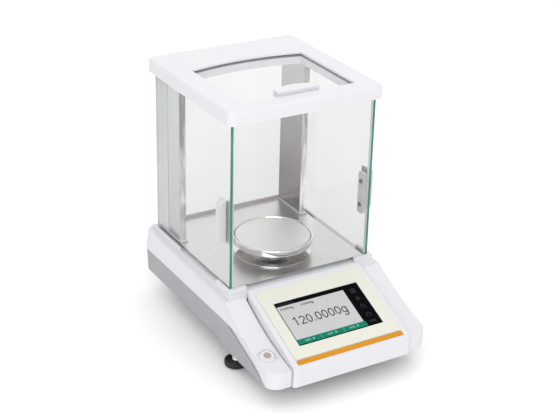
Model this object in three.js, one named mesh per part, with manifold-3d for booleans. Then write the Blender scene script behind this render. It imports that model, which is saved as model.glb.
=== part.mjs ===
// Analytical balance: console with touch screen, glass draft shield and round weighing pan.
// Millimetres, +Z up. X is right, -Y is the front, Z = 0 is the surface that the feet stand on.
// While it is drawn, Y = 0 is the outer face of the front glass; the last group centres the part.
import * as THREE from 'three';
import { mergeVertices } from 'three/addons/utils/BufferGeometryUtils.js';
import Module from 'manifold-3d';

const wasm = await Module();
wasm.setup();

// ---------- driving dimensions ----------
const GAP = 0.35;                // clearance between pieces that would touch
const WALL = 2.5;                // moulded wall
const CUT = 40;                  // how far a cutter runs past the face that it cuts

const BASE_HALF_W = 100.3;
const BASE_FRONT = -110.5;
const BASE_REAR = 195;
const BASE_FRONT_R = 14;
const BASE_REAR_R = 10;
const BASE_SHOULDER_IN = 3.2;    // how much the rear shoulders narrow between split line and top
const BASE_REAR_LEAN = 4;
const SPLIT_Z = 57.6;            // level stretch of the seam between the two shells
const SPLIT_BEND_Y = -8;
const SPLIT_END = [-96, 24];
const SHELL_FRONT_FOOT_Z = 23;

const FLANK_FRONT_Z = 79.5;
const FLANK_REAR_Z = 83;
const CONSOLE_REAR_Y = -9;
const CONSOLE_CURVE_MID = [-55.2, 50.9];
const CONSOLE_FRONT_Z = 42.2;

const DECK_Z = 84;
const DECK_FRONT = -8;
const DECK_REAR = 190;
const DECK_HALF_W = [94.6, 91.5];   // front and rear
const LIP_Z = 90;                   // corner lips that hold the foot of the glass

const TRAY_BOTTOM_Z = 29.5;
const TRAY_FRONT_BOTTOM_Z = 21.5;
const TRAY_STEP_Y = [-3, 12];

const MODULE_HALF_W = 72;
const MODULE_DRAFT = 2;
const MODULE_FRONT = -113.5;
const SLOPE = THREE.MathUtils.degToRad(21.65);
const SLOPE_REAR_Z = 86.4;          // height of the sloping face at CONSOLE_REAR_Y
const OVERLAY = { halfW: 66.4, from: 5, to: 101.4, r: 2.5, t: 0.5 };
const BAR = { from: 102.3, to: 107.9 };
const SCREEN = { halfW: 53, from: 25.5, to: 85.5, t: 2 };
const LEVEL = { x: -87, y: -77.5, z: 41, r: 10.2, windowR: 6.2, depth: 9 };
const LEVEL_TILT = THREE.MathUtils.degToRad(16);

const GLASS_T = 3;
const GLASS_FOOT_Z = DECK_Z + GAP;
const GLASS_TOP_Z = 285.5;
const DOOR_IN = 86.25;
const DOOR_END = 176.5;
const REAR_GLASS_Y = 182;
const FLOOR_Z = 88;
const FLOOR_T = 1.2;
const FLOOR_HALF_W = DOOR_IN - GAP;
const FLOOR_LIP_Z = 92;

// the box of each pillar stands in front of a flange that runs on to the rear glass
const PILLAR = { in: 77.6, out: 84.4, front: 128.5, rear: 156.8, foot: 90, top: 281.2, wall: 1.2, rib: 3 };
const FLANGE_REAR = 180.1;
const REAR_POST = { in: PILLAR.in + PILLAR.wall + GAP, out: 85, front: PILLAR.rear + GAP, rear: FLANGE_REAR };

const CAP = { halfW: 94.8, front: -7, rear: 188.8, foot: 280.7, top: 295.8, r: 8, wall: 2.2, bevel: 3 };
const OPENING = { halfW: 70, front: 13, rear: 126, bulge: 9 };
const RAIL_TOP_Z = 289.9;
const TOP_GLASS = { halfW: 74, front: 6, rear: 142 };

const PAN = { y: 61.4, r: 46, top: 109.3, wall: 7.6, t: 1 };
const PLATE_R = 44.5;
const HUB_R = 21.5;                 // ring under the pan
const STEM_R = 3;
const CELL = { foot: 32.3, bed: 34, bedT: 8, halfW: 66, front: 8, rear: 150, footX: 58, footY: [20, 140] };

const GRIP = { y0: 9.5, y1: 21, z0: 139.5, z1: 192.5, t: 8, slope: 4.5, chamfer: 3.5 };
const GRIP_PLATE = { y0: 4.2, y1: 15.5, z0: 139, z1: 189, t: 3.6, screwRise: 14.2 };
const TOP_GRIP = { halfW: 25.5, y: 15, end: 9.5, bulge: 6.5, h: 6 };

const FOOT = { x: 86.9, y: -12.1, wheelR: 13, wheelZ: [1.8, 8], studR: 4, studTop: 44, padR: 9 };
const REAR_FOOT = { x: 50, y: 165, r: 10, h: 9 };
const PORT = { x: 28, halfW: 42, z0: 61, z1: 76, t: 2.5 };
const SHELL_SCREWS = [[-78, 172], [78, 172], [-72, 20], [72, 20]];

// ---------- materials ----------
const finish = (color, roughness, metalness, extra = {}) => ({ color, roughness, metalness, ...extra });
const WHITE = finish(0xf1f0f3, 0.42, 0);
const GREY = finish(0xa9aaae, 0.5, 0);
const CREAM = finish(0xecece2, 0.5, 0);
const ORANGE = finish(0xe09a20, 0.45, 0);
const BLACK = finish(0x141416, 0.2, 0);
const RUBBER = finish(0x1a1a1c, 0.85, 0);
const STEEL = finish(0xc4c3c2, 0.28, 1);
const DARK_STEEL = finish(0x6a6968, 0.15, 1);
const ALUMINIUM = finish(0xb4b6b8, 0.45, 1);
const BOARD = finish(0x1f6b45, 0.55, 0);
const IRON = finish(0x55585c, 0.5, 1);
const GLASS = finish(0xd6ebe6, 0.03, 0, { transparent: true, opacity: 0.3 });

const balance = new THREE.Group();

function add(name, solidOrGeometry, look, parent = balance) {
  const geometry = solidOrGeometry.isBufferGeometry ? solidOrGeometry : toGeometry(solidOrGeometry);
  const mesh = new THREE.Mesh(geometry, new THREE.MeshStandardMaterial(look));
  mesh.name = name;
  parent.add(mesh);
  return mesh;
}

// ---------- solids ----------
function toSolid(geometry) {
  const bare = geometry.clone();
  bare.deleteAttribute('normal');
  bare.deleteAttribute('uv');
  const merged = mergeVertices(bare, 1e-4);
  return new wasm.Manifold(new wasm.Mesh({
    numProp: 3,
    vertProperties: new Float32Array(merged.attributes.position.array),
    triVerts: new Uint32Array(merged.index.array),
  }));
}

function toGeometry(manifold) {
  const mesh = manifold.getMesh();
  const geometry = new THREE.BufferGeometry();
  geometry.setAttribute('position', new THREE.BufferAttribute(mesh.vertProperties, 3));
  geometry.setIndex(new THREE.BufferAttribute(mesh.triVerts, 1));
  geometry.computeVertexNormals();
  return geometry;
}

function block(x0, x1, y0, y1, z0, z1) {
  const box = new THREE.BoxGeometry(x1 - x0, y1 - y0, z1 - z0);
  box.translate((x0 + x1) / 2, (y0 + y1) / 2, (z0 + z1) / 2);
  return toSolid(box);
}

// the same block on the left (side -1) or right (side 1), given by its distances from the middle
function sideBlock(side, a, b, y0, y1, z0, z1) {
  return block(Math.min(side * a, side * b), Math.max(side * a, side * b), y0, y1, z0, z1);
}

function post(x, y, r, z0, z1, sides = 32) {
  const cylinder = new THREE.CylinderGeometry(r, r, z1 - z0, sides);
  cylinder.rotateX(Math.PI / 2);
  cylinder.translate(x, y, (z0 + z1) / 2);
  return toSolid(cylinder);
}

// a cylinder whose axis lies along X or Y
function bar(axis, center, r, length, sides = 20) {
  const cylinder = new THREE.CylinderGeometry(r, r, length, sides);
  if (axis === 'x') cylinder.rotateZ(Math.PI / 2);
  cylinder.translate(...center);
  return toSolid(cylinder);
}

// outline in X and Y, extruded upwards
function slab(shape, z0, z1, curveSegments = 8) {
  const geometry = new THREE.ExtrudeGeometry(shape, { depth: z1 - z0, bevelEnabled: false, curveSegments });
  geometry.translate(0, 0, z0);
  return geometry;
}

// outline in Y and Z, extruded along X
const ALONG_X = new THREE.Matrix4().makeBasis(
  new THREE.Vector3(0, 1, 0), new THREE.Vector3(0, 0, 1), new THREE.Vector3(1, 0, 0));

function profile(shape, x0, x1, curveSegments = 12) {
  const geometry = new THREE.ExtrudeGeometry(shape, { depth: x1 - x0, bevelEnabled: false, curveSegments });
  geometry.translate(0, 0, x0);
  geometry.applyMatrix4(ALONG_X);
  return toSolid(geometry);
}

function polygon(points) {
  return new THREE.Shape(points.map(([a, b]) => new THREE.Vector2(a, b)));
}

// rectangle with a radius at the corners of each end
function roundedRect(x0, x1, y0, y1, rFront, rRear = rFront) {
  const shape = new THREE.Shape();
  shape.moveTo(x0 + rFront, y0);
  shape.lineTo(x1 - rFront, y0);
  shape.absarc(x1 - rFront, y0 + rFront, rFront, -Math.PI / 2, 0);
  shape.lineTo(x1, y1 - rRear);
  shape.absarc(x1 - rRear, y1 - rRear, rRear, 0, Math.PI / 2);
  shape.lineTo(x0 + rRear, y1);
  shape.absarc(x0 + rRear, y1 - rRear, rRear, Math.PI / 2, Math.PI);
  shape.lineTo(x0, y0 + rFront);
  shape.absarc(x0 + rFront, y0 + rFront, rFront, Math.PI, Math.PI * 1.5);
  return shape;
}

// rectangle whose far side bows out by the given sagitta
function bowedRect(halfW, y0, y1, bulge) {
  const radius = (halfW * halfW + bulge * bulge) / (2 * bulge);
  const angle = Math.asin(halfW / radius);
  const shape = new THREE.Shape();
  shape.moveTo(-halfW, y0);
  shape.lineTo(halfW, y0);
  shape.lineTo(halfW, y1);
  shape.absarc(0, y1 + bulge - radius, radius, Math.PI / 2 - angle, Math.PI / 2 + angle);
  return shape;
}

function reshape(geometry, move) {
  const position = geometry.attributes.position;
  const point = new THREE.Vector3();
  for (let i = 0; i < position.count; i += 1) {
    point.fromBufferAttribute(position, i);
    move(point);
    position.setXYZ(i, point.x, point.y, point.z);
  }
  return geometry;
}

const turned = (points, sides = 48) => toSolid(stand(new THREE.LatheGeometry(
  points.map(([r, z]) => new THREE.Vector2(r, z)), sides)));

function stand(geometry) {
  geometry.rotateX(Math.PI / 2);
  return geometry;
}

// ---------- base ----------
const clamp01 = (value) => Math.min(1, Math.max(0, value));

// plan outline of the base, drawn in by `inset`, as one solid up to the deck
function baseBody(inset) {
  const outline = roundedRect(-BASE_HALF_W + inset, BASE_HALF_W - inset, BASE_FRONT + inset,
    BASE_REAR - inset, BASE_FRONT_R - inset, BASE_REAR_R - inset);
  const skirt = slab(outline, 0, SPLIT_Z);
  reshape(skirt, (p) => {
    const drop = 1 - p.z / SPLIT_Z;
    p.x *= 1 - 0.02 * drop;
    if (p.y < 0) p.y += 3 * drop;
    else p.y -= 3 * drop;
  });
  const shoulders = slab(outline, SPLIT_Z, DECK_Z + 10);
  reshape(shoulders, (p) => {
    if (p.z < SPLIT_Z + 1) return;
    const rearward = clamp01((p.y - DECK_FRONT) / (BASE_REAR - DECK_FRONT));
    p.x -= Math.sign(p.x) * BASE_SHOULDER_IN * rearward;
    if (p.y > BASE_REAR / 2) p.y -= BASE_REAR_LEAN;
  });
  return toSolid(skirt).add(toSolid(shoulders));
}

// side view of the upper shell: seam, front foot, console curve and flank
function shellSide(drop) {
  const shape = new THREE.Shape();
  const far = BASE_REAR + CUT;
  shape.moveTo(far, SPLIT_Z + GAP);
  shape.lineTo(far, FLANK_REAR_Z - drop);
  shape.lineTo(CONSOLE_REAR_Y, FLANK_FRONT_Z - drop);
  shape.quadraticCurveTo(CONSOLE_CURVE_MID[0], CONSOLE_CURVE_MID[1] - drop,
    BASE_FRONT, CONSOLE_FRONT_Z - drop);
  shape.lineTo(BASE_FRONT - CUT, CONSOLE_FRONT_Z - drop - 6);
  shape.lineTo(BASE_FRONT - CUT, SHELL_FRONT_FOOT_Z);
  shape.lineTo(SPLIT_END[0] - GAP, SHELL_FRONT_FOOT_Z);
  shape.lineTo(SPLIT_END[0] - GAP, SPLIT_END[1] + GAP);
  shape.lineTo(SPLIT_BEND_Y, SPLIT_Z + GAP);
  return shape;
}

function deckBlock(inset, top) {
  const [front, rear] = DECK_HALF_W.map((half) => half - inset);
  const outline = polygon([[-front, DECK_FRONT + inset], [front, DECK_FRONT + inset],
    [rear, DECK_REAR - inset], [-rear, DECK_REAR - inset]]);
  return toSolid(slab(outline, SPLIT_Z + GAP, top));
}

// raised lips: an L round each front corner and a strip beside each door's rear end
function deckLips() {
  const lipOut = 93.2;
  const doorSide = DOOR_IN + GLASS_T + GAP;
  const frontLipY = -3.9;
  const cornerX = 70;
  const cornerY = 24.5;
  const rearLip = [116, 186];
  let lips = null;
  for (const side of [-1, 1]) {
    const front = sideBlock(side, cornerX, lipOut, frontLipY, -GAP, DECK_Z - 1, LIP_Z);
    const corner = sideBlock(side, doorSide, lipOut, frontLipY, cornerY, DECK_Z - 1, LIP_Z);
    const strip = sideBlock(side, doorSide, DECK_HALF_W[1], rearLip[0], rearLip[1], DECK_Z - 1, LIP_Z - 2);
    const pair = front.add(corner).add(strip);
    lips = lips ? lips.add(pair) : pair;
  }
  return lips;
}

const slopeZ = (y) => SLOPE_REAR_Z + (y - CONSOLE_REAR_Y) * Math.tan(SLOPE);

// wedge-shaped display housing, drawn in by `inset` on every outer face
function moduleBody(inset) {
  const topHalf = MODULE_HALF_W - inset;
  const rearY = DECK_FRONT - GAP - inset;
  const frontY = MODULE_FRONT + inset;
  const drop = inset / Math.cos(SLOPE);
  const below = inset ? CUT : 0;
  const [endY, endZ] = SPLIT_END;
  const side = polygon([[rearY, SPLIT_Z - below], [rearY, slopeZ(rearY) - drop],
    [frontY, slopeZ(frontY) - drop], [frontY, SHELL_FRONT_FOOT_Z - below],
    [endY - GAP, SHELL_FRONT_FOOT_Z - below], [endY - GAP, endZ + 4 - below]]);
  const body = profile(side, -topHalf - MODULE_DRAFT, topHalf + MODULE_DRAFT);
  const plan = slab(roundedRect(-topHalf, topHalf, frontY, rearY, 3), 0, slopeZ(rearY) + 5, 4);
  reshape(plan, (p) => {
    if (p.z < 1) p.x += Math.sign(p.x) * MODULE_DRAFT;
  });
  return body.intersect(toSolid(plan));
}

const slopePlace = new THREE.Matrix4().makeRotationX(SLOPE)
  .setPosition(0, CONSOLE_REAR_Y, SLOPE_REAR_Z);

// rectangle on the sloping face: distances run down the slope, heights along its normal
function slopeRect(halfW, from, to, r, low, high) {
  const geometry = slab(roundedRect(-halfW, halfW, -to, -from, r), low, high, 4);
  geometry.applyMatrix4(slopePlace);
  return toSolid(geometry);
}

const levelPlace = new THREE.Matrix4().makeRotationX(LEVEL_TILT).setPosition(LEVEL.x, LEVEL.y, LEVEL.z);

function upperShell() {
  const outer = baseBody(0).intersect(profile(shellSide(0), -CUT * 4, CUT * 4)).add(deckBlock(0, DECK_Z));
  const lower = profile(shellSide(WALL), -CUT * 4, CUT * 4);
  const inner = baseBody(WALL).intersect(lower.add(lower.translate([0, 0, -CUT])))
    .add(deckBlock(WALL, DECK_Z - WALL));
  const clear = profile(polygon([[DECK_FRONT, 0], [DECK_FRONT, DECK_Z + CUT],
    [MODULE_FRONT - CUT, DECK_Z + CUT], [MODULE_FRONT - CUT, 0]]),
  -MODULE_HALF_W - MODULE_DRAFT - GAP, MODULE_HALF_W + MODULE_DRAFT + GAP);
  const stemHole = post(0, PAN.y, 9, DECK_Z - 10, DECK_Z + 10);
  const levelHole = post(0, 0, LEVEL.r + GAP, -CUT / 2, CUT, 24).transform(levelPlace.elements);
  return outer.subtract(inner).add(deckLips()).subtract(clear).subtract(stemHole)
    .subtract(levelHole).subtract(rearPortWindow());
}

function rearPortWindow() {
  return block(PORT.x - PORT.halfW - GAP, PORT.x + PORT.halfW + GAP, BASE_REAR - 12, BASE_REAR + CUT,
    PORT.z0 - GAP, PORT.z1 + GAP);
}

// side view of the tray: seam above, and a belly that steps down towards the front
function traySide(lift) {
  const [stepFront, stepRear] = TRAY_STEP_Y;
  const shape = new THREE.Shape();
  shape.moveTo(BASE_REAR + CUT, TRAY_BOTTOM_Z + lift);
  shape.lineTo(BASE_REAR + CUT, SPLIT_Z + (lift ? CUT : 0));
  shape.lineTo(SPLIT_BEND_Y, SPLIT_Z + (lift ? CUT : 0));
  shape.lineTo(SPLIT_END[0], SPLIT_END[1] + (lift ? CUT : 0));
  shape.lineTo(SPLIT_END[0], TRAY_FRONT_BOTTOM_Z + lift);
  shape.lineTo(stepFront, TRAY_FRONT_BOTTOM_Z + lift);
  shape.bezierCurveTo((stepFront + stepRear) / 2, TRAY_FRONT_BOTTOM_Z + lift,
    (stepFront + stepRear) / 2, TRAY_BOTTOM_Z + lift, stepRear, TRAY_BOTTOM_Z + lift);
  return shape;
}

function lowerShell() {
  let shell = baseBody(0.8).intersect(profile(traySide(0), -CUT * 4, CUT * 4));
  shell = shell.subtract(baseBody(0.8 + WALL).intersect(profile(traySide(WALL), -CUT * 4, CUT * 4)));
  for (const side of [-1, 1]) {
    const rearBoss = post(side * REAR_FOOT.x, REAR_FOOT.y, REAR_FOOT.r + 1.5, REAR_FOOT.h + GAP,
      TRAY_BOTTOM_Z + 1, 28);
    const nut = post(side * FOOT.x, FOOT.y, 8, TRAY_FRONT_BOTTOM_Z + 1, 40, 24);
    shell = shell.add(rearBoss).add(nut);
    shell = shell.subtract(post(side * FOOT.x, FOOT.y, FOOT.studR + GAP, 0, 60, 20));
  }
  for (const [x, y] of SHELL_SCREWS) {
    shell = shell.add(post(x, y, 5.5, TRAY_BOTTOM_Z + 1, SPLIT_Z - 6, 16));
    shell = shell.subtract(post(x, y, 4, 0, TRAY_BOTTOM_Z + 5, 16));
    shell = shell.subtract(post(x, y, 1.8, 0, 70, 12));
  }
  return shell;
}

// ---------- display housing and console face ----------
function displayHousing() {
  const window = slopeRect(SCREEN.halfW + GAP, SCREEN.from - GAP, SCREEN.to + GAP, 1, -CUT / 2, 5);
  return moduleBody(0).subtract(moduleBody(WALL)).subtract(window);
}

function buildConsole() {
  add('display_housing', displayHousing(), WHITE);
  const overlay = slopeRect(OVERLAY.halfW, OVERLAY.from, OVERLAY.to, OVERLAY.r, GAP, GAP + OVERLAY.t)
    .subtract(slopeRect(SCREEN.halfW + GAP, SCREEN.from - GAP, SCREEN.to + GAP, 1, -5, 5));
  add('control_overlay', overlay, CREAM);
  add('accent_bar', slopeRect(OVERLAY.halfW, BAR.from, BAR.to, 0.6, GAP, GAP + OVERLAY.t), ORANGE);
  const glassTop = GAP + OVERLAY.t - 0.1;
  const { halfW, from, to, t } = SCREEN;
  add('screen_glass', slopeRect(halfW, from, to, 0.8, glassTop - t, glassTop), BLACK);
  const panelTop = glassTop - t - GAP;
  add('lcd_panel', slopeRect(halfW - 1, from + 1, to - 1, 0.8, panelTop - 3, panelTop), BLACK);
  add('display_board', slopeRect(halfW - 3, from, to - 4, 1, panelTop - 8, panelTop - 6.4), BOARD);
}

// circular level: an open cup let into the left wing, with a clear vial in it
function buildLevel() {
  const cupPoints = [[0, 0], [LEVEL.r, 0], [LEVEL.r, LEVEL.depth], [LEVEL.windowR + 0.4, LEVEL.depth],
    [LEVEL.windowR + 0.4, 2], [0, 2]];
  const vialPoints = [[0, 2 + GAP], [LEVEL.windowR, 2 + GAP], [LEVEL.windowR, LEVEL.depth - 0.8],
    [LEVEL.windowR - 1, LEVEL.depth - 0.2], [0, LEVEL.depth]];
  const seat = new THREE.Group();
  seat.position.set(LEVEL.x, LEVEL.y, LEVEL.z);
  seat.rotation.x = LEVEL_TILT;
  balance.add(seat);
  add('level_cup', turned(cupPoints, 28), WHITE, seat);
  add('level_vial', turned(vialPoints, 28), GLASS, seat);
}

// ---------- weighing chamber ----------
function floorPlate() {
  const front = GLASS_T + GAP;
  const rear = REAR_GLASS_Y - GAP;
  const outer = block(-FLOOR_HALF_W, FLOOR_HALF_W, front, rear, GLASS_FOOT_Z, FLOOR_Z);
  const hollow = block(-FLOOR_HALF_W + FLOOR_T, FLOOR_HALF_W - FLOOR_T, front + FLOOR_T, rear - FLOOR_T,
    GLASS_FOOT_Z - 5, FLOOR_Z - FLOOR_T);
  const lip = block(-FLOOR_HALF_W, FLOOR_HALF_W, rear - FLOOR_T, rear, FLOOR_Z - 1, FLOOR_LIP_Z);
  return outer.subtract(hollow).add(lip).subtract(post(0, PAN.y, 8, FLOOR_Z - 5, FLOOR_Z + 5, 28));
}

function pillar(side) {
  const { in: inner, out: outer, front, rear, foot, top, wall, rib } = PILLAR;
  return sideBlock(side, inner, outer, front, rear, foot, top)
    .subtract(sideBlock(side, inner + wall, outer - wall, front + wall, rear - wall, foot - 5, top + 5))
    .add(sideBlock(side, inner, inner + wall, rear - wall, FLANGE_REAR, foot, top))
    .add(sideBlock(side, inner - 1, inner + wall / 2, front, front + rib, foot, top));
}

function buildChamber() {
  add('floor_plate', floorPlate(), STEEL);
  for (const [label, side] of [['left', -1], ['right', 1]]) {
    add(`${label}_pillar`, pillar(side), STEEL);
    add(`${label}_pillar_foot`, sideBlock(side, PILLAR.in - 1.5, PILLAR.out + 0.6, PILLAR.front - 4,
      FLANGE_REAR, FLOOR_Z + GAP, PILLAR.foot - GAP), WHITE);
    add(`${label}_rear_post`, sideBlock(side, REAR_POST.in, REAR_POST.out, REAR_POST.front, REAR_POST.rear,
      PILLAR.foot, PILLAR.top), WHITE);
  }
  const inside = DOOR_IN - GAP;
  for (const [name, y] of [['front_glass', 0], ['rear_glass', REAR_GLASS_Y]]) {
    add(name, block(-inside, inside, y, y + GLASS_T, GLASS_FOOT_Z, GLASS_TOP_Z), GLASS);
  }
}

// ---------- sliding doors ----------
// outer grip: its outer face is drawn in all round, and most of all at the rear
function sideGrip(side) {
  const { y0, y1, z0, z1, t, slope, chamfer } = GRIP;
  const faceIn = DOOR_IN + GLASS_T + GAP;
  const grip = slab(roundedRect(y0, y1, z0, z1, 3), faceIn, faceIn + t, 5);
  reshape(grip, (p) => {
    if (p.z < faceIn + t / 2) return;
    if (p.x > (y0 + y1) / 2) p.x -= slope;
    p.y += p.y > (z0 + z1) / 2 ? -chamfer : chamfer;
  });
  grip.applyMatrix4(ALONG_X);
  const solid = toSolid(grip);
  return side > 0 ? solid : solid.mirror([1, 0, 0]);
}

function innerPlate(side) {
  const { y0, y1, z0, z1, t } = GRIP_PLATE;
  const faceOut = DOOR_IN - GAP;
  const plate = slab(roundedRect(y0, y1, z0, z1, 3), faceOut - t, faceOut, 5);
  plate.applyMatrix4(ALONG_X);
  const solid = toSolid(plate);
  return side > 0 ? solid : solid.mirror([1, 0, 0]);
}

function buildDoors() {
  const screwY = (GRIP_PLATE.y0 + GRIP_PLATE.y1) / 2;
  const screwZ = (GRIP_PLATE.z0 + GRIP_PLATE.z1) / 2;
  const headX = DOOR_IN - GAP - GRIP_PLATE.t - GAP;
  for (const [label, side] of [['left', -1], ['right', 1]]) {
    const x0 = Math.min(side * DOOR_IN, side * (DOOR_IN + GLASS_T));
    add(`${label}_door_glass`, block(x0, x0 + GLASS_T, 0, DOOR_END, GLASS_FOOT_Z, GLASS_TOP_Z), GLASS);
    add(`${label}_door_grip`, sideGrip(side), WHITE);
    add(`${label}_door_plate`, innerPlate(side), WHITE);
    for (const [place, rise] of [['upper', 1], ['lower', -1]]) {
      const center = [side * (headX - 0.7), screwY, screwZ + rise * GRIP_PLATE.screwRise];
      add(`${label}_door_screw_${place}`, bar('x', center, 2.6, 1.4, 16), STEEL);
    }
  }
  const glassZ = RAIL_TOP_Z + GAP;
  add('top_door_glass', block(-TOP_GLASS.halfW, TOP_GLASS.halfW, TOP_GLASS.front, TOP_GLASS.rear,
    glassZ, glassZ + GLASS_T), GLASS);
  const gripShape = bowedRect(TOP_GRIP.halfW, TOP_GRIP.y, TOP_GRIP.y + TOP_GRIP.end, TOP_GRIP.bulge);
  const gripFoot = glassZ + GLASS_T + GAP;
  add('top_door_grip', toSolid(slab(gripShape, gripFoot, gripFoot + TOP_GRIP.h, 10)), WHITE);
}

// ---------- top of the draft shield ----------
function capShell() {
  const { halfW, front, rear, foot, top, r, wall, bevel } = CAP;
  const outline = roundedRect(-halfW + bevel, halfW - bevel, front + bevel, rear - bevel, r - bevel);
  const rounded = new THREE.ExtrudeGeometry(outline, {
    depth: top - foot,
    bevelEnabled: true,
    bevelSize: bevel,
    bevelThickness: bevel,
    bevelSegments: 4,
    curveSegments: 6,
  });
  rounded.translate(0, 0, foot - bevel);
  const body = toSolid(rounded).intersect(block(-halfW - 1, halfW + 1, front - 1, rear + 1, foot, top + 1));
  const hollow = toSolid(slab(roundedRect(-halfW + wall, halfW - wall, front + wall, rear - wall, r - wall),
    foot - 5, top - wall, 6));
  const opening = bowedRect(OPENING.halfW, OPENING.front, OPENING.rear, OPENING.bulge);
  const window = toSolid(slab(opening, foot, top + 5, 16));
  const glassSlot = block(-TOP_GLASS.halfW - GAP, TOP_GLASS.halfW + GAP, rear - 10, rear + 10,
    RAIL_TOP_Z, top - wall);
  return body.subtract(hollow).subtract(window).subtract(glassSlot).subtract(doorSlots(rear - 10, rear + 10));
}

function doorSlots(y0, y1) {
  const slot = (side) => {
    const outer = DOOR_IN + GLASS_T + GAP;
    return sideBlock(side, DOOR_IN - GAP, outer, y0, y1, CAP.foot - 5, GLASS_TOP_Z + GAP);
  };
  return slot(-1).add(slot(1));
}

// frame inside the cap: grooves below for the standing glass, rails above for the sliding glass
function railFrame() {
  const { halfW, front, rear, foot, top, wall, r } = CAP;
  const inset = wall + GAP;
  const outline = roundedRect(-halfW + inset, halfW - inset, front + inset, rear - inset, r - inset);
  const slack = 0.8;
  const window = bowedRect(OPENING.halfW + slack, OPENING.front - slack, OPENING.rear + slack, OPENING.bulge);
  let frame = toSolid(slab(outline, foot + 0.8, RAIL_TOP_Z, 6));
  for (const side of [-1, 1]) {
    frame = frame.add(sideBlock(side, TOP_GLASS.halfW + GAP, TOP_GLASS.halfW + 2, front + 8, rear - 8,
      RAIL_TOP_Z - 1, top - wall - GAP));
  }
  const groove = (y) => block(-DOOR_IN, DOOR_IN, y - GAP, y + GLASS_T + GAP, foot - 5, GLASS_TOP_Z + GAP);
  return frame.subtract(toSolid(slab(window, foot - 5, top, 16)))
    .subtract(groove(0)).subtract(groove(REAR_GLASS_Y)).subtract(doorSlots(-GAP, rear + 10));
}

// ---------- pan and weighing cell ----------
function buildWeighing() {
  const { y, r, top, wall, t } = PAN;
  const low = top - wall;
  const coneTop = low + 1.5;
  const place = (name, points, look, sides) => add(name, turned(points, sides).translate([0, y, 0]), look);
  place('pan', [[0, top - 1 - t], [r - 1 - t, top - 1 - t], [r - t, low], [r, low], [r, top],
    [r - 1, top], [r - 1.6, top - 1], [0, top - 1]], STEEL, 56);
  place('pan_support', [[STEM_R + GAP, coneTop - 6], [6, coneTop - 6], [7.5, coneTop], [HUB_R, coneTop],
    [HUB_R, top - 1 - t - GAP], [0, top - 1 - t - GAP], [0, coneTop + 1.5], [STEM_R + GAP, coneTop + 1.5],
    [STEM_R + GAP, coneTop - 6]], ALUMINIUM, 36);
  place('under_pan_plate', [[7, FLOOR_Z + GAP], [PLATE_R, FLOOR_Z + GAP], [PLATE_R, FLOOR_Z + 1],
    [PLATE_R - 0.6, FLOOR_Z + 1.4], [7, FLOOR_Z + 1.4], [7, FLOOR_Z + GAP]], DARK_STEEL, 48);
  place('receptor_stem', [[0, 62], [STEM_R, 62], [STEM_R, coneTop + 1.1], [0, coneTop + 1.1]], STEEL, 20);

  const bedTop = CELL.bed + CELL.bedT;
  let bed = block(-CELL.halfW, CELL.halfW, CELL.front, CELL.rear, CELL.bed, bedTop);
  for (const footX of [-CELL.footX, CELL.footX]) {
    for (const footY of CELL.footY) bed = bed.add(post(footX, footY, 6, CELL.foot, CELL.bed + 1, 16));
  }
  add('cell_base_casting', bed, ALUMINIUM);
  const frame = block(-16, 16, 68, 132, bedTop + GAP, 74).subtract(block(-20, 20, 76, 122, 50, 68))
    .subtract(block(-6, 6, 60, 80, 55, 63));
  add('cell_frame', frame, ALUMINIUM);
  add('cell_lever', block(-5, 5, 55, 121, 56, 61.6), ALUMINIUM);
  add('magnet_cup', post(0, 108, 13, 42.4 + 8, 55.5, 28).subtract(post(0, 108, 9.5, 53, 60, 28)), IRON);
  add('main_board', block(-62, -22, 46, 146, 48, 49.6), BOARD);
}

// ---------- feet, ports and fasteners ----------
function buildFeet() {
  const [wheelFoot, wheelTop] = FOOT.wheelZ;
  const knurls = 28;
  const wheelShape = new THREE.Shape();
  for (let i = 0; i < knurls * 2; i += 1) {
    const angle = (i * Math.PI) / knurls;
    const radius = i % 2 ? FOOT.wheelR : FOOT.wheelR - 0.8;
    if (i === 0) wheelShape.moveTo(radius, 0);
    else wheelShape.lineTo(radius * Math.cos(angle), radius * Math.sin(angle));
  }
  for (const [label, side] of [['left', -1], ['right', 1]]) {
    const x = side * FOOT.x;
    const wheel = toSolid(slab(wheelShape, wheelFoot, wheelTop)).translate([x, FOOT.y, 0])
      .add(post(x, FOOT.y, FOOT.studR, wheelTop - 1, FOOT.studTop, 20));
    add(`${label}_foot_wheel`, wheel, BLACK);
    add(`${label}_foot_pad`, post(x, FOOT.y, FOOT.padR, 0, wheelFoot - GAP, 24), RUBBER);
    add(`${label}_rear_foot`, post(side * REAR_FOOT.x, REAR_FOOT.y, REAR_FOOT.r, 0, REAR_FOOT.h, 28), RUBBER);
  }
}

function buildRear() {
  const { x, halfW, z0, z1, t } = PORT;
  const face = BASE_REAR - 3.4;
  const dcX = x + 26;
  const serialX = x - 14;
  const midZ = (z0 + z1) / 2;
  const serialBlock = (half, y0, y1, rise) => (
    block(serialX - half, serialX + half, y0, y1, midZ - rise, midZ + rise)
  );
  const plate = block(x - halfW, x + halfW, face - t, face, z0, z1)
    .subtract(bar('y', [dcX, face, midZ], 5 + GAP, 10, 24))
    .subtract(serialBlock(15.5 + GAP, face - 10, face + 10, 5.5));
  add('rear_port_plate', plate, BLACK);
  const socket = bar('y', [dcX, face + 1, midZ], 3.2, 14, 20);
  const pin = bar('y', [dcX, face - 5.5, midZ], 1, 11, 10);
  const inlet = bar('y', [dcX, face - 5.5, midZ], 5, 12, 24).subtract(socket).add(pin);
  add('dc_inlet', inlet, BLACK);
  const port = serialBlock(15.5, face - 9, face + 0.6, 5.1)
    .subtract(serialBlock(8, face - 4, face + 5, 3.6));
  add('serial_port', port, STEEL);
}

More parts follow.
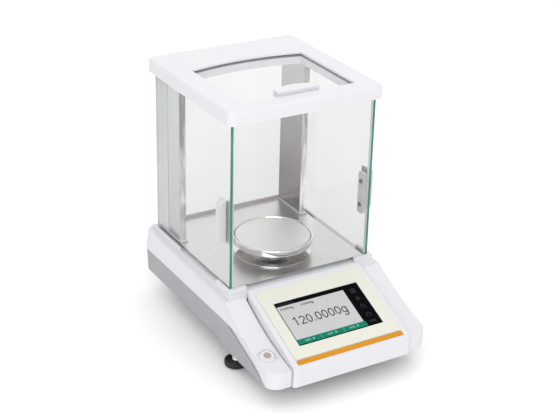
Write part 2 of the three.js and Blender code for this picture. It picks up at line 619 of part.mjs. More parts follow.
function buildScrews() {
  SHELL_SCREWS.forEach(([x, y], index) => {
    const head = post(x, y, 3.4, TRAY_BOTTOM_Z + 1.5, TRAY_BOTTOM_Z + 4.6, 16);
    const shank = post(x, y, 1.4, TRAY_BOTTOM_Z + 4, SPLIT_Z - 8, 10);
    add(`shell_screw_${index + 1}`, head.add(shank), STEEL);
  });
}

// ---------- assembly ----------
add('upper_shell', upperShell(), WHITE);
add('lower_shell', lowerShell(), GREY);
buildConsole();
buildLevel();
buildChamber();
buildDoors();
add('shield_cap', capShell(), WHITE);
add('cap_rail_frame', railFrame(), WHITE);
buildWeighing();
buildFeet();
buildRear();
buildScrews();

balance.position.y = -(MODULE_FRONT + BASE_REAR) / 2;
const part = new THREE.Group();
part.add(balance);

export default part;
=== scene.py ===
import math

import bmesh
import bpy
from mathutils import Matrix, Vector


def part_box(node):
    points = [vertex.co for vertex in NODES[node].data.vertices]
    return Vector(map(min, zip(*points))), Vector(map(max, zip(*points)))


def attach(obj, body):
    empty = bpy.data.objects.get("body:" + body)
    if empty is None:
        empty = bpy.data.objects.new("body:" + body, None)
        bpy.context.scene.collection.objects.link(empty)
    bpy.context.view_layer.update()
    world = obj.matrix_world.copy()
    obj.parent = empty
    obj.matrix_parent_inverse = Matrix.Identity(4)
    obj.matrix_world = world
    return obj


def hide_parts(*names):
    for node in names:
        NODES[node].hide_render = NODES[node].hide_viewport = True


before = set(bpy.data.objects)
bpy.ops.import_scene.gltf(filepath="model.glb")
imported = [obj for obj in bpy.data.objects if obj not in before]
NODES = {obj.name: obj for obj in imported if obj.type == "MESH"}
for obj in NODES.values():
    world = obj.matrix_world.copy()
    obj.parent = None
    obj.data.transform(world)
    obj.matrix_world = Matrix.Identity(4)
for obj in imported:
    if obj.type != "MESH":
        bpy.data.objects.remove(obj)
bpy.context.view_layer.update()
MM = 0.001

# ---------- camera ----------
CAMERA_PLACE = Vector((-0.70364, -1.16032, 0.79631))
CAMERA_RIGHT = Vector((0.862041, -0.506239, 0.024637))
CAMERA_UP = Vector((0.199383, 0.383403, 0.901803))
CAMERA_LENS = 86.69

# ---------- sizes, in millimetres ----------
SLOPE = math.radians(21.65)       # tilt of the console face
OVERLAY_START = 5.0               # from the top of the slope to the overlay
FILM_LOW, FILM_TOP = 0.35, 0.85   # heights of the overlay above the slope
SCREEN_TOP = 0.75
ARRIS = 0.45                      # ground edge of a glass pane
SMOOTH_TO = 30.0                  # degrees; a sharper angle between faces stays an edge
PRINT_T = 0.025                   # thickness of an area of the screen
PRINT_STEP = 0.03                 # from one layer of the screen to the next
SYMBOL_LIFT, WRITE_LIFT = 0.07, 0.085  # heights of drawn lines above the screen
LEVEL_TILT = math.radians(16)
LEVEL_R, LEVEL_DEPTH = 10.2, 9.0
PILLAR_FOOT, PILLAR_CROWN = 85, 285  # heights between which the painted reflection on the pillars changes tone


# ---------- materials ----------
def link(tree, output, target):
    tree.links.new(output, target)


def noise(tree, vector, scale, detail=3.0, rough=0.55):
    node = tree.nodes.new("ShaderNodeTexNoise")
    node.inputs["Scale"].default_value = scale
    node.inputs["Detail"].default_value = detail
    node.inputs["Roughness"].default_value = rough
    link(tree, vector, node.inputs["Vector"])
    return node.outputs["Fac"]


def spread(tree, value, low, high):
    node = tree.nodes.new("ShaderNodeMapRange")
    node.inputs["From Min"].default_value = 0.3
    node.inputs["From Max"].default_value = 0.7
    node.inputs["To Min"].default_value = low
    node.inputs["To Max"].default_value = high
    link(tree, value, node.inputs["Value"])
    return node.outputs["Result"]


def blend_colour(tree, factor, first, second):
    node = tree.nodes.new("ShaderNodeMix")
    node.data_type = "RGBA"
    node.inputs["A"].default_value = (*first, 1)
    node.inputs["B"].default_value = (*second, 1)
    link(tree, factor, node.inputs["Factor"])
    return node.outputs["Result"]


def surface(name, colour, rough, metal=0.0, grain=0.0004, depth=0.00001, tint=0.03,
            stretch=(1, 1, 1), rough_swing=0.05, coat=0.0, glow=0.0, shine=0.5):
    """A shader with slow colour clouds, uneven gloss and a fine grain of the real size."""
    made = bpy.data.materials.new(name)
    made.use_nodes = True
    tree = made.node_tree
    shader = tree.nodes["Principled BSDF"]
    shader.inputs["Metallic"].default_value = metal
    shader.inputs["Coat Weight"].default_value = coat
    shader.inputs["Specular IOR Level"].default_value = shine
    place = tree.nodes.new("ShaderNodeTexCoord").outputs["Object"]
    mapping = tree.nodes.new("ShaderNodeMapping")
    mapping.inputs["Scale"].default_value = stretch
    link(tree, place, mapping.inputs["Vector"])
    clouds = spread(tree, noise(tree, mapping.outputs["Vector"], 22.0), 0.0, 1.0)
    dark = [c * (1 - tint) for c in colour]
    light = [min(1.0, c * (1 + tint)) for c in colour]
    link(tree, blend_colour(tree, clouds, dark, light), shader.inputs["Base Color"])
    wear = noise(tree, mapping.outputs["Vector"], 160.0)
    link(tree, spread(tree, wear, rough - rough_swing, rough + rough_swing), shader.inputs["Roughness"])
    bump = tree.nodes.new("ShaderNodeBump")
    bump.inputs["Distance"].default_value = depth
    bump.inputs["Strength"].default_value = 0.6
    link(tree, noise(tree, mapping.outputs["Vector"], 1 / grain, 2.0), bump.inputs["Height"])
    link(tree, bump.outputs["Normal"], shader.inputs["Normal"])
    if glow:
        shader.inputs["Emission Color"].default_value = (*colour, 1)
        shader.inputs["Emission Strength"].default_value = glow
    return made


def painted_reflection_steel(name, foot, crown, rough, streaks=0.12):
    """Upright brushed steel with a painted reflection: its tone changes slowly from its foot to its crown,
    with long streaks.
    """
    made = surface(name, foot, rough, metal=1.0, grain=0.004, depth=0.000003, stretch=(40, 40, 1),
                   rough_swing=0.06)
    tree = made.node_tree
    shader = tree.nodes["Principled BSDF"]
    place = tree.nodes.new("ShaderNodeTexCoord").outputs["Object"]
    apart = tree.nodes.new("ShaderNodeSeparateXYZ")
    link(tree, place, apart.inputs["Vector"])
    rise = tree.nodes.new("ShaderNodeMapRange")
    rise.interpolation_type = "SMOOTHSTEP"
    rise.inputs["From Min"].default_value = PILLAR_FOOT * MM
    rise.inputs["From Max"].default_value = PILLAR_CROWN * MM
    link(tree, apart.outputs["Z"], rise.inputs["Value"])
    mapping = tree.nodes.new("ShaderNodeMapping")
    mapping.inputs["Scale"].default_value = (9, 9, 1)
    link(tree, place, mapping.inputs["Vector"])
    streak = spread(tree, noise(tree, mapping.outputs["Vector"], 26.0), -streaks, streaks)
    total = tree.nodes.new("ShaderNodeMath")
    total.operation = "ADD"
    total.use_clamp = True
    link(tree, rise.outputs["Result"], total.inputs[0])
    link(tree, streak, total.inputs[1])
    link(tree, blend_colour(tree, total.outputs["Value"], foot, crown), shader.inputs["Base Color"])
    return made


def pane_face(name, tint):
    """The clear face of a pane: almost all light goes through, a little is mirrored."""
    made = bpy.data.materials.new(name)
    made.use_nodes = True
    tree = made.node_tree
    tree.nodes.remove(tree.nodes["Principled BSDF"])
    out = tree.nodes["Material Output"]
    place = tree.nodes.new("ShaderNodeTexCoord").outputs["Object"]
    haze = spread(tree, noise(tree, place, 14.0), 0.0, 1.0)
    through = tree.nodes.new("ShaderNodeBsdfTransparent")
    link(tree, blend_colour(tree, haze, [c * 0.992 for c in tint], tint), through.inputs["Color"])
    mirror = tree.nodes.new("ShaderNodeBsdfGlossy")
    link(tree, spread(tree, noise(tree, place, 60.0), 0.012, 0.03), mirror.inputs["Roughness"])
    mirror.inputs["Color"].default_value = (0.95, 0.97, 0.96, 1)
    fresnel = tree.nodes.new("ShaderNodeFresnel")
    fresnel.inputs["IOR"].default_value = 1.45
    outward = tree.nodes.new("ShaderNodeMath")
    outward.operation = "SUBTRACT"
    outward.inputs[0].default_value = 1.0
    link(tree, tree.nodes.new("ShaderNodeNewGeometry").outputs["Backfacing"], outward.inputs[1])
    share = tree.nodes.new("ShaderNodeMath")
    share.operation = "MULTIPLY"
    link(tree, fresnel.outputs["Fac"], share.inputs[0])
    link(tree, outward.outputs["Value"], share.inputs[1])
    mix = tree.nodes.new("ShaderNodeMixShader")
    link(tree, share.outputs["Value"], mix.inputs["Fac"])
    link(tree, through.outputs["BSDF"], mix.inputs[1])
    link(tree, mirror.outputs["BSDF"], mix.inputs[2])
    link(tree, mix.outputs["Shader"], out.inputs["Surface"])
    return made


WHITE = surface("white_plastic", (0.655, 0.652, 0.678), 0.38, tint=0.012, grain=0.0005, depth=0.000006)
# the housing's white plastic made darker as painted shade, for the door grips and plates
GRIP_PAINTED_SHADE_WHITE = surface("grip_plastic_painted_shade", (0.57, 0.57, 0.58), 0.32, tint=0.015, grain=0.0005, depth=0.000006)
GREY = surface("grey_plastic", (0.33, 0.332, 0.35), 0.5, tint=0.02, grain=0.0006, depth=0.00002)
CREAM = surface("cream_film", (0.66, 0.66, 0.582), 0.45, tint=0.01, grain=0.0003, depth=0.000005)
ORANGE = surface("orange_film", (0.60, 0.245, 0.008), 0.5, tint=0.03, grain=0.0003, depth=0.000005,
                 shine=0.15)
BLACK_GLASS = surface("black_cover", (0.002, 0.002, 0.003), 0.3, tint=0.1, depth=0.000001, shine=0.02)
BLACK = surface("black_plastic", (0.012, 0.012, 0.014), 0.42, tint=0.12, grain=0.0006, depth=0.00002)
RUBBER = surface("rubber", (0.02, 0.02, 0.021), 0.8, tint=0.15, grain=0.0008, depth=0.00004)
BRUSHED = surface("brushed_steel", (0.67, 0.662, 0.66), 0.32, metal=1.0, grain=0.004, depth=0.000002,
                  tint=0.04, stretch=(40, 1, 40), rough_swing=0.04)
# pillar steels carry painted reflections: darker towards the foot, darker on the face towards the chamber,
# bright-to-dark on the front
PILLAR_OUT_PAINTED_REFLECTION = painted_reflection_steel("pillar_outer_painted_reflection_steel", (0.62, 0.62, 0.63), (0.76, 0.76, 0.765), 0.3)
PILLAR_IN_PAINTED_REFLECTION = painted_reflection_steel("pillar_inner_painted_reflection_steel", (0.25, 0.225, 0.218), (0.50, 0.495, 0.49), 0.22)
PILLAR_FRONT_PAINTED_REFLECTION = painted_reflection_steel("pillar_front_painted_reflection_steel", (0.95, 0.94, 0.93), (0.30, 0.27, 0.25), 0.2, 0.5)
PAN_STEEL = surface("pan_steel", (0.87, 0.866, 0.845), 0.5, metal=1.0, grain=0.004, depth=0.000004,
                    tint=0.03, stretch=(1, 40, 40), rough_swing=0.06)
POLISHED = surface("polished_steel", (0.87, 0.86, 0.845), 0.1, metal=1.0, grain=0.001, depth=0.000001,
                   tint=0.03, rough_swing=0.03)
# polished sheet under the pan that stands in as painted shadow of the pan on the floor
PAINTED_SHADOW_STEEL = surface("painted_shadow_polished_steel", (0.72, 0.70, 0.68), 0.12, metal=1.0, grain=0.001,
                     depth=0.000001, tint=0.05, rough_swing=0.04)
ALUMINIUM = surface("machined_aluminium", (0.74, 0.74, 0.73), 0.3, metal=1.0, grain=0.0008, depth=0.00001)
# dark plated iron; on the pan it also colours the groove inside the rim as painted shade
IRON_AND_PAINTED_SHADE = surface("plated_iron_and_painted_shade", (0.2, 0.205, 0.215), 0.45, metal=1.0, grain=0.0008, depth=0.00001, tint=0.08)
BOARD = surface("circuit_board", (0.02, 0.16, 0.06), 0.4, grain=0.0012, depth=0.00003, tint=0.3)
GLASS_EDGE = surface("glass_edge", (0.012, 0.17, 0.125), 0.2, grain=0.002, depth=0.00001, tint=0.25,
                     rough_swing=0.1, coat=0.3)
FAINT_EDGE = surface("glass_faint_edge", (0.50, 0.56, 0.55), 0.2, grain=0.002, depth=0.00001, tint=0.1)
CLEAR = pane_face("clear_pane", (0.946, 0.946, 0.947))
EDGE_CLEAR = pane_face("clear_pane_edge", (0.93, 0.965, 0.955))
LCD = surface("lit_screen", (0.47, 0.47, 0.475), 0.4, tint=0.01, depth=0.000001, glow=0.06, shine=0.1)
GREEN = surface("screen_green", (0.0, 0.185, 0.115), 0.4, tint=0.03, depth=0.000001, shine=0.1)
INK = surface("screen_ink", (0.022, 0.018, 0.018), 0.5, tint=0.05, depth=0.000001, shine=0.1)
DIM = surface("screen_dim_symbols", (0.035, 0.042, 0.055), 0.4, tint=0.1, depth=0.000001, shine=0.1)
PALE_TEXT = surface("screen_pale_marks", (0.28, 0.48, 0.40), 0.4, tint=0.05, depth=0.000001, shine=0.1)
LEVEL_FLUID = surface("level_fluid", (0.70, 0.71, 0.715), 0.25, tint=0.04, depth=0.000001, coat=0.4)
LEVEL_BUBBLE = surface("level_bubble", (0.40, 0.29, 0.30), 0.2, tint=0.15, depth=0.000001, coat=0.5)
LEVEL_MARK = surface("level_mark", (0.72, 0.34, 0.10), 0.4, tint=0.05, depth=0.000001)


# ---------- mesh helpers ----------
def piece(name, points, faces, material, body, place, smooth_to=SMOOTH_TO):
    """A new piece from points in millimetres; place is in metres."""
    mesh = bpy.data.meshes.new(name)
    mesh.from_pydata([Vector(p) * MM for p in points], [], faces)
    mesh.transform(place)
    return finish_piece(name, mesh, material, body, smooth_to)


def finish_piece(name, mesh, material, body, smooth_to):
    for face in mesh.polygons:
        face.use_smooth = True
    mesh.set_sharp_from_angle(angle=math.radians(smooth_to))
    made = bpy.data.objects.new(name, mesh)
    bpy.context.scene.collection.objects.link(made)
    for one in material if isinstance(material, list) else [material]:
        mesh.materials.append(one)
    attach(made, body)
    return made


def soften(node, width, segments):
    """Rounds the sharp edges of a CAD node without moving its faces."""
    merge = node.modifiers.new("merge_flats", "DECIMATE")
    merge.decimate_type = "DISSOLVE"
    merge.angle_limit = math.radians(0.5)
    bevel = node.modifiers.new("rounded_edges", "BEVEL")
    bevel.width = width * MM
    bevel.segments = segments
    bevel.limit_method = "ANGLE"
    bevel.angle_limit = math.radians(32)
    bevel.use_clamp_overlap = False
    bevel.harden_normals = True
    bevel.miter_outer = "MITER_ARC"


def dress(name, material, edge, segments=3):
    """Gives a CAD node its material and, if edge is set, rounded edges."""
    node = NODES[name]
    mesh = node.data
    mesh.materials.clear()
    mesh.materials.append(material)
    for face in mesh.polygons:
        face.use_smooth = True
    mesh.set_sharp_from_angle(angle=math.radians(SMOOTH_TO))
    soften(node, edge, segments)
    return node


def lathe_mesh(name, profile, sides=96, ripple=None):
    """Turns a closed or axis-to-axis profile of (radius, height) in millimetres about Z."""
    points, rings = [], []
    kept = [p for i, p in enumerate(profile) if i == 0 or math.dist(p, profile[i - 1]) > 1e-4]
    for r, z in kept:
        if r < 1e-6:
            rings.append([len(points)])
            points.append((0, 0, z))
            continue
        rings.append(list(range(len(points), len(points) + sides)))
        for i in range(sides):
            angle = 2 * math.pi * i / sides
            radius = r * (ripple(angle, r, z) if ripple else 1.0)
            points.append((radius * math.cos(angle), radius * math.sin(angle), z))
    faces = []
    for low, high in zip(rings, rings[1:]):
        for i in range(sides):
            j = (i + 1) % sides
            if len(low) == len(high) == 1:
                continue
            if len(low) == 1:
                faces.append((low[0], high[j], high[i]))
            elif len(high) == 1:
                faces.append((low[i], low[j], high[0]))
            else:
                faces.append((low[i], low[j], high[j], high[i]))
    return points, faces


def arc(centre, radius, start, end, steps=6):
    """Points of a round stretch of a profile; angles in degrees."""
    made = []
    for i in range(steps + 1):
        angle = math.radians(start + (end - start) * i / steps)
        made.append((centre[0] + radius * math.cos(angle), centre[1] + radius * math.sin(angle)))
    return made


def turned(name, profile, material, body, place, sides=96, ripple=None, smooth_to=35.0):
    points, faces = lathe_mesh(name, profile, sides, ripple)
    return piece(name, points, faces, material, body, place, smooth_to)


def prism(outline, low, high, start=0):
    """A flat outline in X and Y, extruded between two heights; start numbers its first point."""
    count = len(outline)
    points = [(x, y, low) for x, y in outline] + [(x, y, high) for x, y in outline]
    faces = [tuple(start + i for i in range(count - 1, -1, -1)),
             tuple(start + count + i for i in range(count))]
    faces += [(start + i, start + (i + 1) % count, start + count + (i + 1) % count, start + count + i)
              for i in range(count)]
    return points, faces


def rounded(x0, x1, y0, y1, r, steps=5):
    """Rounded rectangle, anticlockwise."""
    return (arc((x1 - r, y0 + r), r, -90, 0, steps) + arc((x1 - r, y1 - r), r, 0, 90, steps)
            + arc((x0 + r, y1 - r), r, 90, 180, steps) + arc((x0 + r, y0 + r), r, 180, 270, steps))


# ---------- housings ----------
def dress_pillar(side):
    """Painted reflections on the pillar: the face towards the chamber gets a darker painted reflection of the
    shaded chamber, the front a painted reflection from bright at the foot to dark at the crown, the outer
    face a painted reflection darker towards the foot.
    """
    mesh = dress(f"{side}_pillar", PILLAR_OUT_PAINTED_REFLECTION, 0.35).data
    mesh.materials.append(PILLAR_IN_PAINTED_REFLECTION)
    mesh.materials.append(PILLAR_FRONT_PAINTED_REFLECTION)
    inward = 1 if side == "left" else -1
    for face in mesh.polygons:
        # painted reflection: the inner face and the front face get their own darker painted tones
        if face.normal.x * inward > 0.7:
            face.material_index = 1
        elif face.normal.y < -0.7:
            face.material_index = 2


def dress_housings():
    dress("upper_shell", WHITE, 0.45)
    dress("lower_shell", GREY, 0.7)
    dress("display_housing", WHITE, 0.25)
    dress("shield_cap", WHITE, 0.5)
    dress("cap_rail_frame", WHITE, 0.3)
    for side in ("left", "right"):
        dress(f"{side}_pillar_foot", WHITE, 0.3)
        dress(f"{side}_rear_post", WHITE, 0.6)
        dress_pillar(side)
    dress("floor_plate", BRUSHED, 0.3)
    dress("control_overlay", CREAM, 0.12)
    dress("accent_bar", ORANGE, 0.12)
    dress("screen_glass", BLACK_GLASS, 0.15)


def dress_inside():
    dress("lcd_panel", BLACK, 0.2)
    dress("display_board", BOARD, 0.1)
    dress("main_board", BOARD, 0.1)
    dress("cell_base_casting", ALUMINIUM, 0.6)
    dress("cell_frame", ALUMINIUM, 0.4)
    dress("cell_lever", ALUMINIUM, 0.3)
    dress("magnet_cup", IRON_AND_PAINTED_SHADE, 0.3)
    dress("receptor_stem", POLISHED, 0.3)
    for index in range(4):
        dress(f"shell_screw_{index + 1}", POLISHED, 0.2)
    for side in ("left", "right"):
        dress(f"{side}_foot_pad", RUBBER, 0.3)
        dress(f"{side}_rear_foot", RUBBER, 0.8)
    dress("rear_port_plate", BLACK, 0.3)
    dress("dc_inlet", BLACK, 0.15)
    dress("serial_port", POLISHED, 0.2)


# ---------- glass ----------
def make_pane(node, body):
    """A pane with ground edges: clear wide faces, deep green front ends, paler edges elsewhere."""
    low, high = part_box(node)
    size = [(high[i] - low[i]) / MM for i in range(3)]
    thin = size.index(min(size))
    form = bmesh.new()
    bmesh.ops.create_cube(form, size=1)
    for vertex in form.verts:
        for i in range(3):
            vertex.co[i] = low[i] if vertex.co[i] < 0 else high[i]
    bmesh.ops.bevel(form, geom=form.edges[:], offset=ARRIS * MM, segments=1, affect="EDGES", profile=0.5)
    form.normal_update()
    for face in form.faces:
        if abs(face.normal[thin]) > 0.99:
            face.material_index = 0
        elif thin != 1 and face.normal.y < -0.5:
            face.material_index = 1
        elif abs(face.normal.z) > 0.99:
            face.material_index = 3
        else:
            face.material_index = 2
    mesh = bpy.data.meshes.new(node + "_pane")
    form.to_mesh(mesh)
    form.free()
    made = finish_piece(node + "_pane", mesh, [CLEAR, GLASS_EDGE, FAINT_EDGE, EDGE_CLEAR], body, 1.0)
    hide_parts(node)
    return made


def make_glass():
    make_pane("front_glass", "base")
    make_pane("rear_glass", "base")
    make_pane("left_door_glass", "left_door")
    make_pane("right_door_glass", "right_door")
    make_pane("top_door_glass", "top_door")


# ---------- door fittings ----------
def make_screw(node, body, side):
    """Button head with a round socket; side is the way it faces along X."""
    low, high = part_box(node)
    r = (high.y - low.y) / 2 / MM
    t = (high.x - low.x) / MM
    crown = arc((r - t * 0.8, t * 0.2), t * 0.8, 0, 80, 5)
    profile = [(0, 0), (r, 0), *crown, (r * 0.45, t), (r * 0.4, t * 0.35), (0, t * 0.35)]
    turn = Matrix.Rotation(math.radians(90 if side > 0 else -90), 4, "Y")
    seat = low.x if side > 0 else high.x
    place = Matrix.Translation((seat, (low.y + high.y) / 2, (low.z + high.z) / 2)) @ turn
    made = turned(node + "_head", profile, IRON_AND_PAINTED_SHADE, body, place, 48)
    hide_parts(node)


def dress_doors():
    for side, way in (("left", 1), ("right", -1)):
        # door grips and plates get the white plastic with painted shade
        dress(f"{side}_door_grip", GRIP_PAINTED_SHADE_WHITE, 0.7)
        dress(f"{side}_door_plate", GRIP_PAINTED_SHADE_WHITE, 0.5)
        for rise in ("upper", "lower"):
            make_screw(f"{side}_door_screw_{rise}", f"{side}_door", way)
    dress("top_door_grip", WHITE, 1.0, 4)


# ---------- pan ----------
def make_pan():
    low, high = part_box("pan")
    centre = Matrix.Translation(((low.x + high.x) / 2, (low.y + high.y) / 2, 0))
    r = (high.x - low.x) / 2 / MM
    bottom, top = low.z / MM, high.z / MM
    sheet = 1.0
    plane = top - sheet
    face = [(0, plane), (r - 3.1, plane), (r - 2.95, plane - 0.4), (r - 2.45, plane - 0.4), (r - 2.3, plane),
            *arc((r - 1.1, top - 0.9), 0.9, 160, 90, 6)]
    rim = [*arc((r - 1.1, top - 1.1), 1.1, 88, 0, 8), (r, bottom + 0.4),
           *arc((r - 0.4, bottom + 0.4), 0.4, 0, -180, 5)]
    inside = [(r - sheet, bottom + 0.6), (r - sheet, top - 2.6), (r - 2.2, plane - sheet), (0, plane - sheet)]
    section = (face + rim + inside)[::-1]
    disc = turned("pan_disc", section, [PAN_STEEL, POLISHED, IRON_AND_PAINTED_SHADE], "weighing_pan", centre, 160)
    for polygon in disc.data.polygons:
        away = Vector((polygon.center.x, polygon.center.y - centre.translation.y)).length / MM
        if away > r - 2.4:
            polygon.material_index = 1
        # the groove just inside the rim takes the dark iron colour as painted shade
        elif away > r - 3.15 and polygon.center.z / MM > top - 1.5:
            polygon.material_index = 2
    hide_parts("pan")

    low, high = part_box("pan_support")
    hub = (high.x - low.x) / 2 / MM
    foot, crown = low.z / MM, high.z / MM
    bore = 3.35
    cone = [(bore, foot), (5.6, foot), *arc((5.6, foot + 0.4), 0.4, -60, 0, 3), (7.5, foot + 6.0)]
    cone += [(hub - 0.5, foot + 6.0), *arc((hub - 0.5, foot + 6.5), 0.5, -90, 0, 4), (hub, crown), (0, crown)]
    cone += [(0, foot + 7.5), (bore, foot + 7.5), (bore, foot)]
    support = turned("pan_hub", cone, ALUMINIUM, "weighing_pan", centre, 96)
    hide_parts("pan_support")

    # painted shadow: a polished disc laid where the floor lies in the pan's shadow; it mirrors the pan's dark
    # underside
    low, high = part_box("under_pan_plate")
    r = (high.x - low.x) / 2 / MM
    base, lid = low.z / MM, high.z / MM
    ring = [(7, base), (r, base), *arc((r - 0.3, lid - 0.3), 0.3, 0, 90, 4), (7, lid), (7, base)]
    mirror = turned("painted_shadow_disc_under_pan", ring, PAINTED_SHADOW_STEEL, "base", centre, 128)
    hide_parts("under_pan_plate")


# ---------- feet ----------
def make_foot(side):
    """Knurled wheel and threaded stud."""
    low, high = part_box(f"{side}_foot_wheel")
    centre = ((low.x + high.x) / 2, (low.y + high.y) / 2)
    place = Matrix.Translation((centre[0], centre[1], 0))
    r = (high.y - low.y) / 2 / MM
    foot, top = low.z / MM, 8.0
    grooves = 36

    def knurl(angle, radius, height):
        if radius < r - 1.2 or height < foot + 0.3:
            return 1.0
        return 1.0 - 0.055 * (0.5 - 0.5 * math.cos(grooves * angle)) ** 2

    stud_r, stud_top, pitch = 3.9, high.z / MM, 1.25
    rim = [(0, foot), (r - 1.6, foot), *arc((r - 1.0, foot + 1.0), 1.0, -90, 0, 3),
           *arc((r - 1.0, top - 1.0), 1.0, 0, 90, 4)]
    crown = [(r - 3.4, top), (r - 4.2, top - 0.6), (stud_r + 1.2, top - 0.6), (stud_r + 0.8, top - 0.1),
             (stud_r, top - 0.1)]
    thread = []
    z = top
    while z < stud_top - pitch:
        thread += [(stud_r, z + pitch * 0.1), (stud_r, z + pitch * 0.2), (stud_r - 0.55, z + pitch * 0.6)]
        z += pitch
    tip = [(stud_r, z + 0.1), (stud_r - 0.6, stud_top), (0, stud_top)]
    wheel = turned(f"{side}_foot_screw", rim + crown + thread + tip, [BLACK, POLISHED], f"{side}_wheel",
                   place, 144, knurl, 50.0)
    for polygon in wheel.data.polygons:
        away = Vector((polygon.center.x - centre[0], polygon.center.y - centre[1])).length / MM
        if polygon.center.z / MM > top - 0.2 and away < stud_r + 0.1:
            polygon.material_index = 1
    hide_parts(f"{side}_foot_wheel")


# ---------- bubble level ----------
def make_level():
    low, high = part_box("level_cup")
    centre = (low + high) / 2
    r, depth = LEVEL_R, LEVEL_DEPTH
    middle = Matrix.Rotation(LEVEL_TILT, 4, "X") @ Vector((0, 0, depth / 2 * MM))
    place = Matrix.Translation(centre - middle) @ Matrix.Rotation(LEVEL_TILT, 4, "X")
    cup = [(0, 0), (r, 0), *arc((r - 0.3, depth - 0.3), 0.3, 0, 90, 5),
           *arc((8.9, depth - 0.5), 0.5, 90, 180, 5), (8.4, depth - 1.0), (8.2, 2), (0, 2)]
    ring = turned("level_ring", cup, WHITE, "base", place, 72)
    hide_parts("level_cup")
    fluid_top = depth - 0.9
    fluid = [(0, 2.4), (8.0, 2.4), (8.0, fluid_top - 0.3), (7.7, fluid_top), (0, fluid_top)]
    drum = turned("level_fluid", fluid, LEVEL_FLUID, "base", place, 60)
    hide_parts("level_vial")
    bubble = [(0, fluid_top + 0.02), (4.2, fluid_top + 0.02), *arc((3.9, fluid_top + 0.3), 0.3, -20, 90, 4),
              (2.4, fluid_top + 0.7), (0, fluid_top + 0.75)]
    turned("level_bubble", bubble, LEVEL_BUBBLE, "base", place, 48)
    marks, faces = [], []
    for index in range(8):
        middle_angle = 360 / 8 * index
        inner = arc((0, 0), 6.2, middle_angle - 10, middle_angle + 10, 4)
        outer = arc((0, 0), 6.9, middle_angle + 10, middle_angle - 10, 4)
        outline = outer[::-1] + inner[::-1]
        dash, dash_faces = prism(outline, fluid_top + 0.03, fluid_top + 0.1, len(marks))
        marks += dash
        faces += dash_faces
    piece("level_marks", marks, faces, LEVEL_MARK, "base", place)


# ---------- screen ----------
def slope_place():
    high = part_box("control_overlay")[1]
    y = high.y + (OVERLAY_START * math.cos(SLOPE) + FILM_LOW * math.sin(SLOPE)) * MM
    z = high.z + (OVERLAY_START * math.sin(SLOPE) - FILM_TOP * math.cos(SLOPE)) * MM
    return Matrix.Translation((0, y, z)) @ Matrix.Rotation(SLOPE, 4, "X")


def on_screen(name, x0, x1, u0, u1, material, level=0, r=0.3):
    """A thin printed or lit area; u runs down the slope."""
    low = SCREEN_TOP + 0.01 + PRINT_STEP * level
    points, faces = prism(rounded(x0, x1, -u1, -u0, r, 2), low, low + PRINT_T)
    return piece(name, points, faces, material, "base", slope_place())


def stroke(path, width, closed=False):
    """A flat line of the given width along a path, as one outline of quads."""
    count = len(path)
    points, faces = [], []
    for i, (x, y) in enumerate(path):
        before = path[i - 1] if closed or i else path[0]
        after = path[(i + 1) % count] if closed or i < count - 1 else path[-1]
        into = Vector((x - before[0], y - before[1]))
        away = Vector((after[0] - x, after[1] - y))
        if into.length < 1e-6:
            into = away
        if away.length < 1e-6:
            away = into
        across = (into.normalized() + away.normalized()).normalized()
        reach = width / 2 / max(0.5, across.dot(into.normalized()))
        side = Vector((-across.y, across.x)) * reach
        points += [(x - side.x, y - side.y), (x + side.x, y + side.y)]
    for i in range(count if closed else count - 1):
        j = (i + 1) % count
        faces.append((2 * i, 2 * j, 2 * j + 1, 2 * i + 1))
    return points, faces


def oval(cx, cy, rx, ry, steps=28):
    return [(cx + rx * math.cos(2 * math.pi * i / steps), cy + ry * math.sin(2 * math.pi * i / steps))
            for i in range(steps)]


def glyph(letter, w, h, line):
    """Strokes of one figure in a cell w wide and h high, standing on y = 0."""
    in_w, in_h = (w - line) / 2, (h - line) / 2
    if letter == "0":
        return [(oval(w / 2, h / 2, in_w, in_h), True)]
    if letter == "1":
        return [([(w * 0.14, h * 0.80), (w * 0.58, h * 0.97), (w * 0.58, 0)], False)]
    if letter == "2":
        bow = arc((w * 0.5, h - w * 0.5), w * 0.5 - line / 2, 165, -28, 12)
        return [(bow + [(line * 0.7, line / 2), (w, line / 2)], False)]
    if letter == ".":
        return [([(w * 0.5 - line * 0.55, line * 0.6), (w * 0.5 + line * 0.55, line * 0.6)], False)]
    if letter == "g":
        bowl = oval(w * 0.46, h * 0.37, w * 0.40, h * 0.33, 24)
        right = w * 0.86
        hook = arc((w * 0.46, -h * 0.06), w * 0.40, 0, -150, 9)
        return [(bowl, True), ([(right, h * 0.70)] + hook, False)]
    return []


def lay(strokes, x, u, lift, line, points, faces):
    """Adds strokes about a place x along and u down the slope to a mesh."""
    for path, closed in strokes:
        made, quads = stroke(path, line, closed)
        start = len(points)
        points += [(x + a, b - u, lift) for a, b in made]
        faces += [tuple(start + k for k in quad) for quad in quads]


def write(name, text, x, u, height, pitch, line, material):
    """Figures on the screen: x is the left end, u the foot of the line, pitch the width of a cell."""
    points, faces = [], []
    pen = x
    for letter in text:
        cell = pitch * 0.42 if letter in ". " else pitch
        lay(glyph(letter, cell * 0.84, height, line), pen, u, SCREEN_TOP + WRITE_LIFT, line, points, faces)
        pen += cell
    return piece(name, points, faces, material, "base", slope_place())


def draw(name, strokes, x, u, line, material):
    """Small symbol: strokes about a centre."""
    points, faces = [], []
    lay(strokes, x, u, SCREEN_TOP + SYMBOL_LIFT, line, points, faces)
    return piece(name, points, faces, material, "base", slope_place())


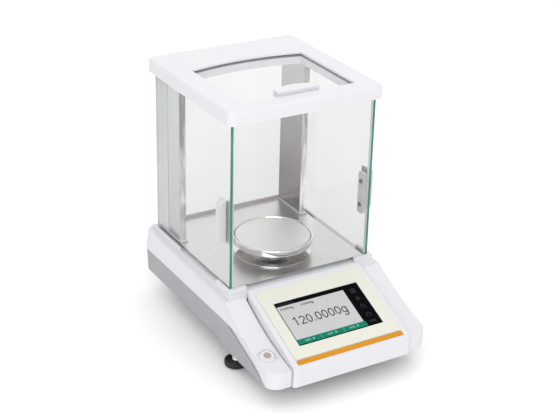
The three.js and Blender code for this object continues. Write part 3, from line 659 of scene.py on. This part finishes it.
def make_screen():
    on_screen("screen_page", -52.4, 32.4, 31.0, 77.6, LCD)
    on_screen("screen_keys", -52.4, 34.5, 77.8, 84.4, GREEN)
    for index, x in enumerate((-22.8, 5.2)):
        on_screen(f"screen_key_gap_{index + 1}", x - 0.15, x + 0.15, 78.2, 84.0, PALE_TEXT, 1, 0.05)
    for index, x in enumerate((-43.5, -15.5, 12.5)):
        write(f"screen_key_mark_{index + 1}", "000", x, 82.1, 2.2, 2.3, 0.4, PALE_TEXT)
        on_screen(f"screen_key_dot_{index + 1}", x + 9.5, x + 11.6, 79.7, 81.8, PALE_TEXT, 1, 0.9)
    write("screen_reading", "120.0000g", -44.0, 60.2, 11.2, 8.2, 1.3, INK)
    write("screen_note_left", "0.0000g", -49.5, 36.4, 2.6, 2.5, 0.6, INK)
    write("screen_note_right", "0.0000g", -24.3, 36.4, 2.6, 2.5, 0.6, INK)
    write("screen_title", "00 00 00 0000", -50.5, 29.6, 1.9, 1.8, 0.3, DIM)
    square = [(-2.6, -2.6), (2.6, -2.6), (2.6, 2.6), (-2.6, 2.6)]
    bars = [([(-1.5, 1.2 * k), (1.5, 1.2 * k)], False) for k in (-1, 0, 1)]
    lens = [(oval(-0.4, 0.6, 2.2, 2.2), True), ([(1.2, -1.0), (3.2, -3.0)], False)]
    gear = [(oval(0, 0, 1.3, 1.3), True)]
    gear += [(arc((0, 0), 2.6, k * 60 - 14, k * 60 + 14, 4), False) for k in range(6)]
    arrow = [(arc((0, 0), 2.8, -60, 210, 14), False), ([(-2.8, 0.4), (-2.4, -1.6), (-0.8, -0.4)], False)]
    symbols = [(square, True)] + bars, gear, lens, arrow
    for index, (strokes, u) in enumerate(zip(symbols, (35.5, 46.5, 58.3, 70.8))):
        draw(f"screen_symbol_{index + 1}", strokes, 43.0, u, 0.6, DIM)
    write("screen_column_note", "0000", 38.6, 81.2, 2.6, 2.3, 0.45, DIM)


# ---------- stage ----------
def make_stage():
    mesh = bpy.data.meshes.new("floor")
    half = 9.0
    corners = [(-half, -half, 0), (half, -half, 0), (half, half, 0), (-half, half, 0)]
    mesh.from_pydata(corners, [], [(0, 1, 2, 3)])
    floor = bpy.data.objects.new("floor", mesh)
    bpy.context.scene.collection.objects.link(floor)
    mesh.materials.append(surface("studio_floor", (0.93, 0.93, 0.93), 0.7, tint=0.004, grain=0.002))

    world = bpy.data.worlds.new("studio")
    bpy.context.scene.world = world
    world.use_nodes = True
    back = world.node_tree.nodes["Background"]
    back.inputs["Color"].default_value = (1, 1, 1, 1)
    back.inputs["Strength"].default_value = 0.85
    bpy.context.scene.view_settings.view_transform = "Standard"

    def lamp(name, place, aim, size, power, colour=(1, 1, 1)):
        light = bpy.data.lights.new(name, "AREA")
        light.shape = "RECTANGLE"
        light.size, light.size_y = size
        light.energy = power
        light.color = colour
        made = bpy.data.objects.new(name, light)
        bpy.context.scene.collection.objects.link(made)
        made.location = place
        made.rotation_euler = (Vector(aim) - Vector(place)).to_track_quat("-Z", "Y").to_euler()
        made.visible_camera = False

    lamp("top_softbox", (0.0, -0.2, 1.9), (0, 0, 0.1), (2.4, 2.4), 9)
    lamp("front_softbox", (-1.4, -2.1, 1.6), (0, 0, 0.2), (2.2, 1.4), 36)
    lamp("rear_softbox", (1.2, 2.1, 1.2), (0, 0, 0.15), (3.8, 2.0), 12)


def make_camera():
    data = bpy.data.cameras.new("photo_camera")
    data.lens = CAMERA_LENS
    data.sensor_width = 36
    camera = bpy.data.objects.new("photo_camera", data)
    bpy.context.scene.collection.objects.link(camera)
    forward = CAMERA_UP.cross(CAMERA_RIGHT)
    turn = Matrix((CAMERA_RIGHT, CAMERA_UP, -forward)).transposed().to_4x4()
    camera.matrix_world = Matrix.Translation(CAMERA_PLACE) @ turn
    bpy.context.scene.camera = camera


make_camera()
make_stage()
dress_housings()
dress_inside()
make_glass()
dress_doors()
make_pan()
for side in ("left", "right"):
    make_foot(side)
make_level()
make_screen()
